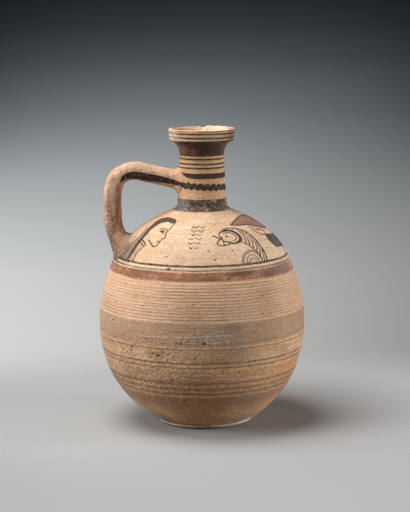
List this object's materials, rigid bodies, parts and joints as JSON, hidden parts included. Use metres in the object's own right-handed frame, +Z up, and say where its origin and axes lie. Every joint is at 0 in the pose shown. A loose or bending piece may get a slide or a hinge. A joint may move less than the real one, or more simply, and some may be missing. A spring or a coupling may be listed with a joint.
{
  "type": "terracotta jug",
  "caption": "Round-bellied clay jug with a narrow neck, a grooved collar mouth, a loop handle from neck to shoulder and a low ring foot.",
  "frame": {"origin": "middle of the face that the foot rests on, on the jug's axis", "axes": "+Z up along the axis to the mouth, the handle on the -X side, the painted front towards -Y"},
  "size_m": [0.1832, 0.1832, 0.262],
  "materials": {
    "buff_clay": "matt fired clay, pitted, with worn thin bands",
    "banded_clay": "matt fired clay with fine wheel ridges and worn red-brown and grey bands",
    "cream_slip": "matt cream slip",
    "dark_banded_clay": "matt clay with dark painted bands",
    "dark_paint": "matt dark iron paint, worn",
    "brown_paint": "matt red-brown paint, worn"
  },
  "bodies": {
    "root": {"foot_ring": "buff_clay", "lower_body": "buff_clay", "upper_body": "banded_clay", "shoulder": "cream_slip", "neck": "dark_banded_clay", "rim": "cream_slip", "handle": "buff_clay"}
  },
  "joints": []
}
